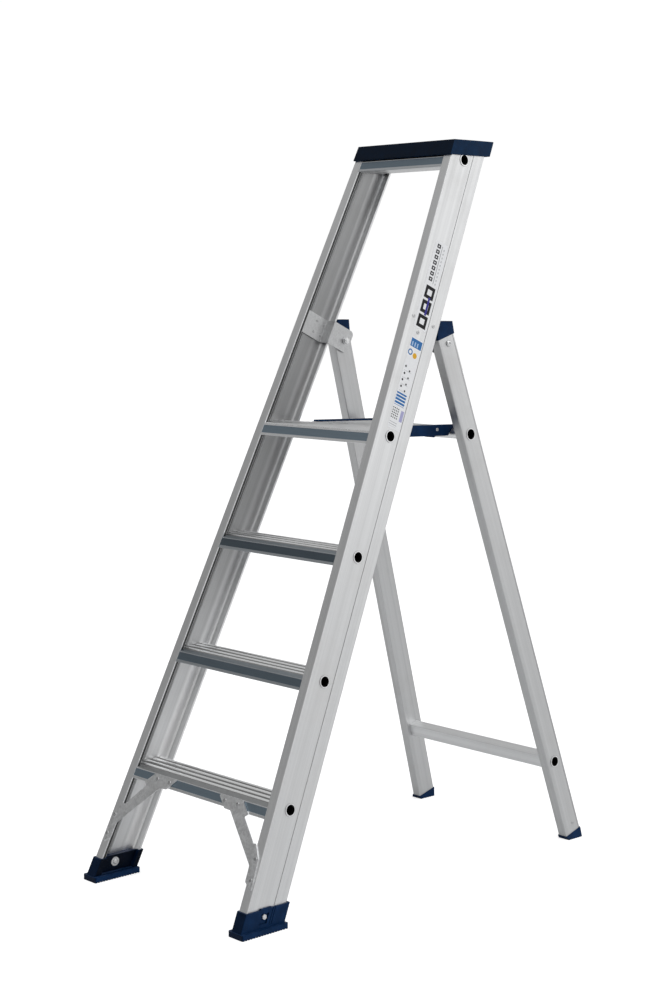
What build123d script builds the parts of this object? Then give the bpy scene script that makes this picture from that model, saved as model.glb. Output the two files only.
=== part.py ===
"""Aluminium platform step ladder: three treads, a fold-up platform, a handrail frame and folding rear legs.

Millimetres, +Z up. The climber stands at -Y and faces +Y.
The origin is on the floor, in the middle of the ladder.
"""

import os
from math import cos, pi, radians, sin, tan

from build123d import *

# Front frame: two channels that lean back and splay out towards the floor.
LEAN = radians(24.0)
SPLAY = radians(3.9)
STILE_HALF = 264.8      # outer face from the middle plane, at the floor
STILE_DEPTH = 98.0
STILE_FLANGE = 24.0
STILE_WEB = 2.6
STILE_LIP = 9.5
STILE_FOOT_Z = 14.0
STILE_TOP_Z = 1630.8
GROOVE_AT = 65.7         # groove along the outer face
GROOVE_HALF = 0.8
GROOVE_CUT = 1.3

# Rear frame: two rectangular tubes that lean forward.
REAR_LEAN = radians(17.4)
REAR_SPLAY = radians(3.6)
REAR_HALF = 258.2
REAR_FRONT = 1018.9     # front edge of the tubes, extended down to the floor
REAR_DEPTH = 51.5
REAR_WIDTH = 25.0
REAR_WALL = 1.8
REAR_START = 8.2        # square-cut ends, measured along the tube
REAR_END = 1247.0

# Treads: the heights of the tubes that tie them to the stiles.
TIE_DEPTH = 41.0
STEP_TIES = {"step_1": 237.0, "step_2": 487.0, "step_3": 737.0}
PLATFORM_TIE = 987.5
TOP_TIE = 1589.0
TREAD_RISE = 13.5       # tread above the tie
TREAD_DROP = 15.0       # underside below the tie
TREAD_BACK = 75.5
LOWER_TIE_ALONG = 196.8
LOWER_TIE_DEPTH = 23.8
UPPER_BAR_Y, UPPER_BAR_Z = 737.6, 979.0
UPPER_BAR_RADIUS = 12.5

# Pivot of the rear frame, and hinge of the platform.
PIVOT_Y, PIVOT_Z = 677.0, 1183.0
HINGE_Y, HINGE_Z = 540.5, 991.5

# Platform deck.
DECK_FRONT = 534.5
DECK_BACK = 756.0
DECK_TOP = 1000.0       # at DECK_FRONT, falling slightly to the rear
DECK_FALL = tan(radians(1.5))
DECK_HALF = 145.0
CAP_FRONT = 571.0

# The bounding box runs from the front feet to the rear feet.
FRONT_END = -1.6
REAR_FEET_END = 1067.4
MIDDLE_Y = (FRONT_END + REAR_FEET_END) / 2

os.makedirs("parts", exist_ok=True)


# ---------------------------------------------------------------- helpers

def loop(corners):
    """Closed wire through (point, radius) corners."""
    spots = []
    count = len(corners)
    for i in range(count):
        here = Vector(*corners[i][0])
        radius = corners[i][1]
        if radius == 0:
            spots.append([here])
            continue
        back = (Vector(*corners[i - 1][0]) - here).normalized()
        ahead = (Vector(*corners[(i + 1) % count][0]) - here).normalized()
        half = radians(back.get_angle(ahead)) / 2
        run = radius / tan(half)
        bow = radius / sin(half) - radius
        middle = here + (back + ahead).normalized() * bow
        spots.append([here + back * run, middle, here + ahead * run])
    edges = []
    for i in range(count):
        spot = spots[i]
        follow = spots[(i + 1) % count]
        if len(spot) == 3:
            edges.append(Edge.make_three_point_arc(*spot))
        edges.append(Edge.make_line(spot[-1], follow[0]))
    return Wire(edges)


def bar(corners, travel, holes=()):
    """Extrude a rounded outline, less its holes, along a vector."""
    face = Face(loop(corners), [loop(hole) for hole in holes])
    return Solid.extrude(face, Vector(*travel))


def rod(start, direction, length, radius):
    return Solid.make_cylinder(radius, length, Plane(origin=start, z_dir=direction))


def turned(outline, origin, direction):
    """Revolve (radius, height, rounding) corners about an axis."""
    plane = Plane(origin=origin, z_dir=direction)
    corners = []
    for radius, height, rounding in outline:
        corners.append((tuple(plane.origin + plane.x_dir * radius + plane.z_dir * height), rounding))
    face = Face(loop(corners))
    return Solid.revolve(face, 360, Axis(origin, direction))


def hexagon(start, direction, length, across, bore):
    plane = Plane(origin=start, z_dir=direction)
    reach = across / 2 / cos(pi / 6)
    points = []
    for i in range(6):
        turn = i * pi / 3
        points.append(plane.origin + plane.x_dir * (reach * cos(turn)) + plane.y_dir * (reach * sin(turn)))
    body = Solid.extrude(Face(Wire.make_polygon(points)), plane.z_dir * length)
    return body - rod(start, direction, length, bore)


def ring(start, direction, length, outer, inner):
    return rod(start, direction, length, outer) - rod(start, direction, length, inner)


def block(x0, x1, y0, y1, z0, z1):
    return Solid.make_box(x1 - x0, y1 - y0, z1 - z0, Plane(origin=(x0, y0, z0)))


def stile_point(side, inset, depth, z):
    """Point at a height on a stile: inset from its outer face, depth behind its front face."""
    x = side * (STILE_HALF - z * tan(SPLAY) - inset)
    return (x, depth / cos(LEAN) + z * tan(LEAN), z)


def stile_along(side, inset, depth, along):
    """The same, but measured along the stile and square to it."""
    z = along * cos(LEAN) - depth * sin(LEAN)
    y = along * sin(LEAN) + depth * cos(LEAN)
    return (side * (STILE_HALF - z * tan(SPLAY) - inset), y, z)


def stile_travel(side, rise):
    return (-side * rise * tan(SPLAY), rise * tan(LEAN), rise)


def stile_bar(side, section, low, high):
    """Section of (inset, depth, radius) carried along a stile between two heights."""
    corners = [(stile_point(side, inset, depth, low), radius) for inset, depth, radius in section]
    return bar(corners, stile_travel(side, high - low))


def stile_square_bar(side, section, low, high):
    """The same between two distances along the stile, with square ends."""
    corners = [(stile_along(side, inset, depth, low), radius) for inset, depth, radius in section]
    return bar(corners, stile_travel(side, (high - low) * cos(LEAN)))


def leg_point(side, inset, depth, along):
    """Point on a rear leg: inset from its outer face, depth behind its front face, distance along it."""
    z = along * cos(REAR_LEAN) + depth * sin(REAR_LEAN)
    y = REAR_FRONT - along * sin(REAR_LEAN) + depth * cos(REAR_LEAN)
    return (side * (REAR_HALF - z * tan(REAR_SPLAY) - inset), y, z)


def leg_bar(side, section, low, high, holes=()):
    rise = (high - low) * cos(REAR_LEAN)
    travel = (-side * rise * tan(REAR_SPLAY), -(high - low) * sin(REAR_LEAN), rise)

    def place(outline):
        return [(leg_point(side, inset, depth, low), radius) for inset, depth, radius in outline]

    return bar(place(section), travel, [place(hole) for hole in holes])


def stile_out(side):
    """Direction square to a stile's outer face."""
    return Vector(side * cos(SPLAY), 0, sin(SPLAY))


def leg_out(side):
    return Vector(side * cos(REAR_SPLAY), 0, sin(REAR_SPLAY))


def box_of(x0, x1, y0, y1):
    """Rectangular (inset, depth) section with sharp corners."""
    return [(x0, y0, 0), (x0, y1, 0), (x1, y1, 0), (x1, y0, 0)]


def tie_y(z):
    return TIE_DEPTH / cos(LEAN) + z * tan(LEAN)


def dome(point, out, head, shank, length, crown=1.8):
    """Blind rivet: domed head with the hole of its mandrel outside, upset tail inside."""
    tail = shank * 1.5
    pit = shank * 0.65
    outline = [
        (0, -length - 1.6, 0), (tail, -length - 1.6, 0.8), (tail, -length, 0),
        (shank, -length, 0), (shank, 0, 0), (head, 0, 0), (head, crown, crown * 0.85), (pit, crown, 0),
        (pit, crown * 0.4, 0), (0, crown * 0.4, 0),
    ]
    return turned(outline, point, out)


def stile_edge(depth, along, side, gap=0.0):
    """Point on a stile's outer face, moved out by a gap."""
    return Vector(*stile_along(side, 0, depth, along)) + stile_out(side) * gap


def save(name, *solids):
    placed = [solid.moved(Location((0, -MIDDLE_Y, 0))) for solid in solids]
    for solid in placed:
        solid.label = name
    if len(placed) == 1:
        piece = placed[0]
    else:
        piece = Compound(children=placed)
    piece.label = name
    export_step(piece, "parts/" + name + ".step")


def single(shape):
    """The one solid of a boolean result."""
    solids = shape.solids()
    assert len(solids) == 1, len(solids)
    return solids[0]


SIDES = {"left": -1, "right": 1}


# ---------------------------------------------------------------- tie tubes

CUP_RADIUS = 12.1
TUBE_RADIUS = 10.2
COLLAR_RADIUS = 14.0
COLLAR_THICK = 1.2


def tie_tube(half, y, z, out_of, wall, tube=TUBE_RADIUS, cup=CUP_RADIUS, mouth=11.0):
    """Tube through a cross member, opened out and rolled over both outer faces."""
    body = rod((-half + wall - 0.6, y, z), (1, 0, 0), 2 * (half - wall + 0.6), tube)
    for side in (-1, 1):
        out = out_of(side)
        foot = Vector(side * half, y, z)
        neck = rod((side * (half - wall), y, z), (side, 0, 0), wall + 4, cup)
        guard = rod(foot + out * COLLAR_THICK, out, 12, 30)
        body = body + (neck - guard)
        body = body + rod(foot + out * 0.02, out, COLLAR_THICK - 0.02, COLLAR_RADIUS)
    body = body - rod((-half - 10, y, z), (1, 0, 0), 2 * half + 20, tube - 1.2)
    for side in (-1, 1):
        body = body - rod((side * (half - wall + 1.3), y, z), (side, 0, 0), wall + 8, mouth)
    return single(body)


TIES = list(STEP_TIES.values()) + [PLATFORM_TIE, TOP_TIE]


def stile_half(z):
    return STILE_HALF - z * tan(SPLAY)


TIE_SEAT = 4.0           # the tube is opened out from here to the outer face
for number, z in {**STEP_TIES, "platform": PLATFORM_TIE, "top": TOP_TIE}.items():
    save("tie_tube_" + number, tie_tube(stile_half(z), tie_y(z), z, stile_out, TIE_SEAT))


# ---------------------------------------------------------------- stiles

BRACKET_LOW, BRACKET_HIGH = 1330.0, 1384.0
BRACKET_RIVETS = {
    "left": [(56.5, 1372.0), (80.0, 1371.0), (56.5, 1345.5), (80.0, 1344.0)],
    "right": [(16.0, 1370.5), (40.7, 1341.2), (80.0, 1372.0)],
}
BRACE_FLANGE_RIVETS = [(15.0, 162.0), (12.0, 118.5)]
BRACE_DROP = {"left": 7.0, "right": 0.0}    # the left brace is fixed lower on its stile
FOOT_BOLT = (45.0, 57.5)
RIVET_HOLE = 2.05

STILE_SECTION = [
    (0, 0, 2.2), (0, GROOVE_AT - GROOVE_HALF, 0), (GROOVE_CUT, GROOVE_AT - GROOVE_HALF, 0),
    (GROOVE_CUT, GROOVE_AT + GROOVE_HALF, 0), (0, GROOVE_AT + GROOVE_HALF, 0),
    (0, STILE_DEPTH, 2.2), (STILE_FLANGE, STILE_DEPTH, 0.8), (STILE_FLANGE, 92.8, 0.5), (21.8, 92.8, 0.5),
    (21.8, 95.5, 0.8), (STILE_WEB, 95.5, 9.0),
    (STILE_WEB, 33.6, 0), (3.7, 32.8, 0), (3.7, 31.4, 0), (STILE_WEB, 30.6, 0),
    (STILE_WEB, 2.6, 1.2), (21.5, 2.6, 0.6), (21.5, STILE_LIP, 0.5), (STILE_FLANGE, STILE_LIP, 0.8),
    (STILE_FLANGE, 0, 0.8),
]


FRONT_OUT = Vector(0, -cos(LEAN), sin(LEAN))

for name, side in SIDES.items():
    stile = stile_bar(side, STILE_SECTION, STILE_FOOT_Z, STILE_TOP_Z)
    for z in TIES:
        stile = stile - rod((side * (stile_half(z) - 8), tie_y(z), z), (side, 0, 0), 16, CUP_RADIUS + 0.05)
    for depth, along in BRACKET_RIVETS[name]:
        stile = stile - rod(stile_edge(depth, along, side, -6), stile_out(side), 12, RIVET_HOLE)
    stile = stile - rod(stile_edge(*FOOT_BOLT, side, -6), stile_out(side), 12, 3.1)
    for inset, along in BRACE_FLANGE_RIVETS:
        spot = Vector(*stile_along(side, inset, 0, along - BRACE_DROP[name]))
        stile = stile - rod(spot - FRONT_OUT * 6, FRONT_OUT, 9, RIVET_HOLE)
    save("stile_" + name, single(stile))


# ---------------------------------------------------------------- treads

RIDGE_RISE = 1.3


def cross_spot(tie, depth, height):
    """Point of a cross member's side profile, by depth in the stile and height over its tie."""
    z = tie + height
    return (depth / cos(LEAN) + z * tan(LEAN), z)


def cross_member(tie, ridges, nose):
    """Hollow tread: ridged top, nose, recessed front face, lip under it and a flat back."""
    half = stile_half(tie) + 6
    low = TREAD_RISE - RIDGE_RISE
    back = cross_spot(tie, TREAD_BACK, TREAD_RISE)[0]
    if nose:
        front = [cross_spot(tie, 12.5, low) + (1.0,), cross_spot(tie, 0, 8.0) + (0.8,)]
    else:
        front = [cross_spot(tie, 0, low + 0.4) + (1.5,)]
    outline = [(back, tie - TREAD_DROP, 1.5), (back, tie + TREAD_RISE, 0.6)]
    for start, end in reversed(ridges):
        if end < TREAD_BACK - 1:
            outline.append(cross_spot(tie, end + 0.9, low) + (0,))
            outline.append(cross_spot(tie, end, TREAD_RISE) + (0,))
        outline.append(cross_spot(tie, start, TREAD_RISE) + (0,))
        outline.append(cross_spot(tie, start - 0.9, low) + (0,))
    outline += front
    edge = 8.0 if nose else 9.5
    outline += [cross_spot(tie, 0, edge - 1.6) + (0.3,), cross_spot(tie, 0.9, edge - 1.9) + (0,)]
    outline += [cross_spot(tie, 0.9, -9.0) + (0,), cross_spot(tie, 0, -9.4) + (0.3,)]
    outline += [cross_spot(tie, 0, -TREAD_DROP) + (1.2,)]
    middle = tie_y(tie)
    roof = low - 1.6
    floor = 1.9 - TREAD_DROP
    cells = [
        [(middle - 12.3, tie + floor, 1), (middle + 12.3, tie + floor, 1), (middle + 12.3, tie + roof, 1),
         (middle - 12.3, tie + roof, 1)],
        [(middle + 14.0, tie + floor, 1), (back - 1.9, tie + floor, 1), (back - 1.9, tie + roof, 1),
         (middle + 14.0, tie + roof, 1)],
        [cross_spot(tie, 3.0, floor) + (1,), (middle - 14.0, tie + floor, 1), (middle - 14.0, tie + roof, 1),
         cross_spot(tie, 14.0 if nose else 3.0, roof) + (0.5,)],
    ]
    if nose:
        cells[2].append(cross_spot(tie, 3.0, 6.0) + (0.5,))

    def stand(profile):
        return [((-half, y, z), radius) for y, z, radius in profile]

    member = bar(stand(outline), (2 * half, 0, 0), [stand(cell) for cell in cells])
    past_web = box_of(-12, 4.2, -8, 110)
    past_lip = box_of(-12, STILE_FLANGE + 0.2, -8, STILE_LIP + 0.4)
    for side in (-1, 1):
        for cut in (past_web, past_lip):
            member = member - stile_bar(side, cut, tie - 40, tie + 40)
    return single(member)


TREAD_RIDGES = [(16.3, 22.7), (35.3, 41.7), (54.3, 60.7), (72.0, TREAD_BACK)]
PLATFORM_RIDGES = [(4.0, 8.0), (19.0, 25.4), (37.0, 43.4), (55.0, 61.4), (72.0, TREAD_BACK)]
BRACE_HEAD_RIVETS = [(95.0, 256.5), (137.5, 256.5)]

for name, tie in STEP_TIES.items():
    tread = cross_member(tie, TREAD_RIDGES, True)
    if name == "step_1":
        for side in (-1, 1):
            for x, along in BRACE_HEAD_RIVETS:
                y = along * sin(LEAN) + 4 * cos(LEAN)
                z = along * cos(LEAN) - 4 * sin(LEAN)
                tread = tread - rod((side * x, y, z), FRONT_OUT, 9, RIVET_HOLE)
        tread = single(tread)
    save(name, tread)

save("top_cross_bar", cross_member(TOP_TIE, TREAD_RIDGES, True))

LUGS_X = (-60.0, 60.0)
LUG_HALF = 5.5
LUG_RIVETS_X = (-14.0, 14.0)    # either side of a lug
STEP_BACK = cross_spot(PLATFORM_TIE, TREAD_BACK, TREAD_RISE)[0]
LUG_RIVET_Z = 980.8

platform_step = cross_member(PLATFORM_TIE, PLATFORM_RIDGES, False)
for x in LUGS_X:
    for offset in LUG_RIVETS_X:
        spot = (x + offset, STEP_BACK - 5, LUG_RIVET_Z)
        platform_step = platform_step - rod(spot, (0, 1, 0), 8, RIVET_HOLE)
save("platform_front_step", single(platform_step))


# ---------------------------------------------------------------- platform hinge

lugs = []
lug_rivets = []
for x in LUGS_X:
    plate = block(x - 20, x + 20, STEP_BACK + 0.02, STEP_BACK + 3.0, 974.5, 988.0)
    arm = block(x - LUG_HALF, x + LUG_HALF, STEP_BACK + 0.02, HINGE_Y, 985.0, HINGE_Z + 5.8)
    eye = rod((x - LUG_HALF, HINGE_Y, HINGE_Z), (1, 0, 0), 2 * LUG_HALF, 5.8)
    lug = plate + arm + eye
    lug = lug - rod((x - 10, HINGE_Y, HINGE_Z), (1, 0, 0), 20, 3.02)
    for offset in LUG_RIVETS_X:
        lug = lug - rod((x + offset, STEP_BACK - 5, LUG_RIVET_Z), (0, 1, 0), 20, RIVET_HOLE)
        lug_rivets.append(dome((x + offset, STEP_BACK + 3.02, LUG_RIVET_Z), (0, 1, 0), 3.6, 2.0, 5.0, 1.2))
    lugs.append(single(lug))
save("platform_hinge_lugs", *lugs)
save("platform_hinge_lug_rivets", *lug_rivets)
save("platform_hinge_rod", rod((-138.0, HINGE_Y, HINGE_Z), (1, 0, 0), 276.0, 3.0))


# ---------------------------------------------------------------- platform deck

DECK_PLATE = 2.4
DECK_RIDGE = 1.2


def deck_z(y, below=0.0):
    return DECK_TOP - (y - DECK_FRONT) * DECK_FALL - below


plate_half = DECK_HALF - 4.1
outline = [(DECK_FRONT, deck_z(DECK_FRONT, DECK_PLATE), 0), (DECK_FRONT, deck_z(DECK_FRONT, DECK_RIDGE), 0.4)]
ridge = 541.0
while ridge < 740:
    outline += [
        (ridge, deck_z(ridge, DECK_RIDGE), 0), (ridge + 0.9, deck_z(ridge), 0),
        (ridge + 7.5, deck_z(ridge + 7.5), 0), (ridge + 8.4, deck_z(ridge + 8.4, DECK_RIDGE), 0),
    ]
    ridge += 20.6
LIP_BACK = 754.2
outline += [
    (LIP_BACK, deck_z(LIP_BACK, DECK_RIDGE), 0.8), (LIP_BACK, 978.0, 0.4), (LIP_BACK - 2.4, 978.0, 0.4),
    (LIP_BACK - 2.4, deck_z(LIP_BACK, DECK_RIDGE + DECK_PLATE), 0.5),
]
RIBS = [(692.0, 694.0, 982.0), (638.0, 640.2, 981.5), (594.0, 596.2, 982.5), (562.0, 564.2, 983.0)]
for near, far, low in RIBS:
    outline += [
        (far, deck_z(far, DECK_RIDGE + DECK_PLATE), 0.4), (far, low, 0), (near, low, 0),
        (near, deck_z(near, DECK_RIDGE + DECK_PLATE), 0.4),
    ]
outline += [(HINGE_Y + 3.2, deck_z(HINGE_Y, DECK_RIDGE + DECK_PLATE), 0), (DECK_FRONT, 996.0, 0)]
outline.pop(0)
deck = bar([((-plate_half, y, z), radius) for y, z, radius in outline], (2 * plate_half, 0, 0))
deck = deck + rod((-plate_half, HINGE_Y, HINGE_Z), (1, 0, 0), 2 * plate_half, 5.4)
PORT_Y, PORT_Z = 682.8, 989.5
deck = deck + block(-plate_half, plate_half, PORT_Y - 3.6, PORT_Y + 3.6, PORT_Z - 3.6, deck_z(PORT_Y, 2.6))
deck = deck - rod((-plate_half - 5, HINGE_Y, HINGE_Z), (1, 0, 0), 2 * plate_half + 10, 3.08)
deck = deck - rod((-plate_half - 5, PORT_Y, PORT_Z), (1, 0, 0), 2 * plate_half + 10, 1.7)
for x in LUGS_X:
    deck = deck - block(x - 6.5, x + 6.5, DECK_FRONT - 3, HINGE_Y + 8.2, 980.0, 1003.0)
save("platform_deck", single(deck))

CAP_HEIGHT = 24.7
CAP_OVER = 3.6
CAP_WALL = 4.0


def cap_top(y):
    return deck_z(y) + CAP_OVER


def cap_low(y):
    return cap_top(y) - CAP_HEIGHT


NOTCH = 13.1
NOTCH_TURN = radians(146.0)
wall_y = UPPER_BAR_Y + NOTCH * cos(NOTCH_TURN)
wall_z = UPPER_BAR_Z + NOTCH * sin(NOTCH_TURN)
foot_y = wall_y - (wall_z - cap_low(715)) * tan(radians(34.0))

for name, side in SIDES.items():
    def upright(profile, x0, x1):
        return bar([((side * x0, y, z), radius) for y, z, radius in profile], (side * (x1 - x0), 0, 0))

    wall = [
        (CAP_FRONT, cap_low(CAP_FRONT), 2.0), (CAP_FRONT, cap_top(CAP_FRONT), 2.0),
        (DECK_BACK + 1.0, cap_top(DECK_BACK), 2.0), (DECK_BACK + 1.0, 974.5, 1.5),
        (UPPER_BAR_Y + NOTCH, 974.5, 1.0), (UPPER_BAR_Y + NOTCH, UPPER_BAR_Z, 0),
        (UPPER_BAR_Y + NOTCH * cos(radians(45)), UPPER_BAR_Z + NOTCH * sin(radians(45)), 0),
        (UPPER_BAR_Y, UPPER_BAR_Z + NOTCH, 0),
        (UPPER_BAR_Y + NOTCH * cos(radians(118)), UPPER_BAR_Z + NOTCH * sin(radians(118)), 0),
        (wall_y, wall_z, 0), (foot_y, cap_low(715), 1.0),
    ]
    cap = upright(wall, DECK_HALF - CAP_WALL, DECK_HALF)
    cap = cap - rod((side * (DECK_HALF - 10), UPPER_BAR_Y, UPPER_BAR_Z), (side, 0, 0), 20, NOTCH)
    over = [
        (CAP_FRONT, deck_z(CAP_FRONT) + 0.05, 0), (CAP_FRONT, cap_top(CAP_FRONT), 1.5),
        (DECK_BACK + 1.0, cap_top(DECK_BACK), 1.5), (DECK_BACK + 1.0, deck_z(DECK_BACK) + 0.05, 0),
    ]
    cap = cap + upright(over, DECK_HALF - 14, DECK_HALF - 1)
    under = [
        (CAP_FRONT + 2, cap_low(CAP_FRONT), 0), (CAP_FRONT + 2, cap_low(CAP_FRONT) + 2.4, 0),
        (foot_y - 8, cap_low(foot_y) + 2.4, 0), (foot_y - 8, cap_low(foot_y), 0),
    ]
    cap = cap + upright(under, DECK_HALF - 12, DECK_HALF - 1)
    cap = cap - rod((side * (DECK_HALF - 20), PORT_Y, PORT_Z), (side, 0, 0), 30, 1.9)
    save("platform_side_cap_" + name, single(cap))

cap_rivets = []
for side in (-1, 1):
    outline = [
        (0, -15, 0), (1.68, -15, 0.3), (1.68, 0.03, 0), (4.0, 0.03, 0), (4.0, 1.8, 1.5), (0, 1.8, 0),
    ]
    cap_rivets.append(turned(outline, (side * DECK_HALF, PORT_Y, PORT_Z), (side, 0, 0)))
save("platform_side_cap_rivets", *cap_rivets)

UNDER_DECK = DECK_RIDGE + DECK_PLATE + 0.05
catch = [
    (699.0, deck_z(699, UNDER_DECK), 0), (711.0, deck_z(711, UNDER_DECK), 0), (711.0, 971.0, 1.5),
    (708.0, 968.2, 1.0), (698.0, 969.6, 1.5), (699.0, 976.0, 1.0),
]
save("platform_catch", bar([((90.0, y, z), radius) for y, z, radius in catch], (22.0, 0, 0)))


# ---------------------------------------------------------------- top cap

CAP_BASE, CAP_ROOF = 1600.0, 1634.0
CAP_FRONT_OVER, CAP_BACK = -4.6, 112.5


def cap_wire(z, spots):
    """Level outline of the cap, from (depth, gap outside the stile) spots and their mirror images."""
    half = stile_half(z)
    right = [(half + gap, depth / cos(LEAN) + z * tan(LEAN), z) for depth, gap in spots]
    left = [(-x, y, z) for x, y, z in reversed(right)]
    return Wire.make_polygon([Vector(*spot) for spot in right + left])


OUTSIDE = [(CAP_FRONT_OVER, 2.0), (58.0, 3.8), (CAP_BACK, 1.3)]
INSIDE = [(-0.25, 0.15), (98.3, 0.15), (CAP_BACK - 4.0, -2.4)]
outer = Solid.make_loft([cap_wire(z, OUTSIDE) for z in (CAP_BASE, CAP_ROOF)], ruled=True)
inner = Solid.make_loft([cap_wire(z, INSIDE) for z in (CAP_BASE - 1, CAP_ROOF - 3)], ruled=True)
long_edges = [edge for edge in outer.edges() if abs(edge.center().X) < 1 or edge.center().Z > CAP_ROOF - 1]
outer = outer.fillet(1.6, long_edges)
cap = outer - inner
for side in (-1, 1):
    foot = Vector(side * stile_half(TOP_TIE), tie_y(TOP_TIE), TOP_TIE)
    cap = cap - rod(foot - stile_out(side) * 2, stile_out(side), 2 + COLLAR_THICK + 0.15, COLLAR_RADIUS + 0.4)
for x in (-96.0, -32.0, 32.0, 96.0):
    low = TOP_TIE + TREAD_RISE + 0.1
    front = -0.3 / cos(LEAN) + low * tan(LEAN)
    rib = [
        ((x - 1, front, low), 0), ((x - 1, front + 78, low), 0),
        ((x - 1, front + 78 + (CAP_ROOF - 2 - low) * tan(LEAN), CAP_ROOF - 2), 0),
        ((x - 1, front + (CAP_ROOF - 2 - low) * tan(LEAN), CAP_ROOF - 2), 0),
    ]
    cap = cap + bar(rib, (2, 0, 0))
save("top_cap", single(cap))


# ---------------------------------------------------------------- hinge brackets

PLATE_OUT = 27.7
PLATE_IN = 30.7
PLATE_REAR = 156.5
PLATE_CORNER = 11.0
bracket_section = [
    (4.0, 4.0, 0.5), (4.0, 88.5, 2.0), (PLATE_OUT, 91.8, 2.0), (PLATE_OUT, PLATE_REAR, 0.6),
    (PLATE_IN, PLATE_REAR, 0.6), (PLATE_IN, 88.8, 2.0), (7.0, 85.5, 2.0), (7.0, 4.0, 0.5),
]
pivot_half = stile_half(PIVOT_Z)
bolts = []
nuts = []
head_washers = []
spacers = []
for name, side in SIDES.items():
    bracket = stile_square_bar(side, bracket_section, BRACKET_LOW, BRACKET_HIGH)
    bracket = bracket - rod((side * 120, PIVOT_Y, PIVOT_Z), (side, 0, 0), 60, 4.1)
    for depth, along in BRACKET_RIVETS[name]:
        bracket = bracket - rod(stile_edge(depth, along, side, -20), stile_out(side), 24, RIVET_HOLE)
    for along, inward in ((BRACKET_LOW, 1), (BRACKET_HIGH, -1)):
        start, end = along - inward, along + inward * PLATE_CORNER
        centre = PLATE_REAR - PLATE_CORNER
        square = [(centre, start), (PLATE_REAR + 2, start), (PLATE_REAR + 2, end), (centre, end)]
        corner = bar([(stile_along(side, PLATE_OUT - 3, *spot), 0) for spot in square], (-side * 12, 0, 0))
        spot = stile_along(side, PLATE_OUT - 6, centre, end)
        corner = corner - rod(spot, (-side, 0, 0), 20, PLATE_CORNER)
        bracket = bracket - corner
    save("hinge_bracket_" + name, single(bracket))

    rivets = [dome(stile_edge(depth, along, side, 0.02), stile_out(side), 4.2, 2.0, 7.1, 1.6)
              for depth, along in BRACKET_RIVETS[name]]
    save("hinge_bracket_rivets_" + name, *rivets)

    leg_face = REAR_HALF - PIVOT_Z * tan(REAR_SPLAY)
    head = [
        (0, 0, 0), (4.0, 0, 0), (4.0, 41.2, 0), (6.8, 41.2, 0.4), (6.8, 45.0, 2.6), (3.0, 45.0, 0.3),
        (3.0, 42.8, 0), (0, 42.8, 0),
    ]
    start = leg_face + 0.7 - 41.2
    bolts.append(turned(head, (side * start, PIVOT_Y, PIVOT_Z), (side, 0, 0)))
    inner_face = pivot_half - PLATE_IN
    washer_at = inner_face - 0.75
    head_washers.append(ring((side * washer_at, PIVOT_Y, PIVOT_Z), (-side, 0, 0), 1.5, 8.0, 4.1))
    nuts.append(hexagon((side * (washer_at - 1.52), PIVOT_Y, PIVOT_Z), (-side, 0, 0), 6.5, 13.0, 4.02))
    outer_face = pivot_half - PLATE_OUT
    spacers.append(ring((side * (outer_face + 0.55), PIVOT_Y, PIVOT_Z), (side, 0, 0), 1.1, 7.0, 4.1))
save("hinge_bolts", *bolts)
save("hinge_nuts", *nuts)
save("hinge_washers", *head_washers)
save("hinge_spacers", *spacers)


# ---------------------------------------------------------------- braces

BRACE_BACK = -0.05
BRACE_FRONT = -2.3
BRACE_HEAD_ALONG = 200.0    # above this the brace lies on the tread
for name, side in SIDES.items():
    drop = BRACE_DROP[name]
    head = [
        (71.0, 267.0, 3), (150.0, 267.0, 3), (178.0, 243.0, 3), (167.0, 237.0, 2), (219.0, 190.0, 2),
        (224.5, 192.5, 3), (232.5, 184.0, 3), (246.5, 164.0, 4), (253.5, 118.0, 4), (253.5, 97.0, 3),
        (230.0, 113.0, 4), (227.5, 146.0, 8), (121.0, 240.0, 3), (101.0, 240.5, 3),
    ]
    flat = []
    for x, along, radius in head:
        if along < BRACE_HEAD_ALONG:
            along = along - drop
        y = along * sin(LEAN) + BRACE_BACK * cos(LEAN)
        z = along * cos(LEAN) - BRACE_BACK * sin(LEAN)
        flat.append(((side * x, y, z), radius))
    travel = FRONT_OUT * (BRACE_BACK - BRACE_FRONT)
    brace = bar(flat, (travel.X, travel.Y, travel.Z))
    spots = [Vector(side * x, along * sin(LEAN), along * cos(LEAN)) for x, along in BRACE_HEAD_RIVETS]
    spots += [Vector(*stile_along(side, inset, 0, along - drop)) for inset, along in BRACE_FLANGE_RIVETS]
    brace_rivets = []
    for number, spot in enumerate(spots):
        brace = brace - rod(spot - FRONT_OUT * 3, FRONT_OUT, 9, RIVET_HOLE)
        length = 6.4 if number < 2 else 5.0
        brace_rivets.append(dome(spot + FRONT_OUT * 2.32, FRONT_OUT, 4.6, 2.0, length, 1.5))
    save("brace_" + name, single(brace))
    save("brace_rivets_" + name, *brace_rivets)


# ---------------------------------------------------------------- front feet

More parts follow.
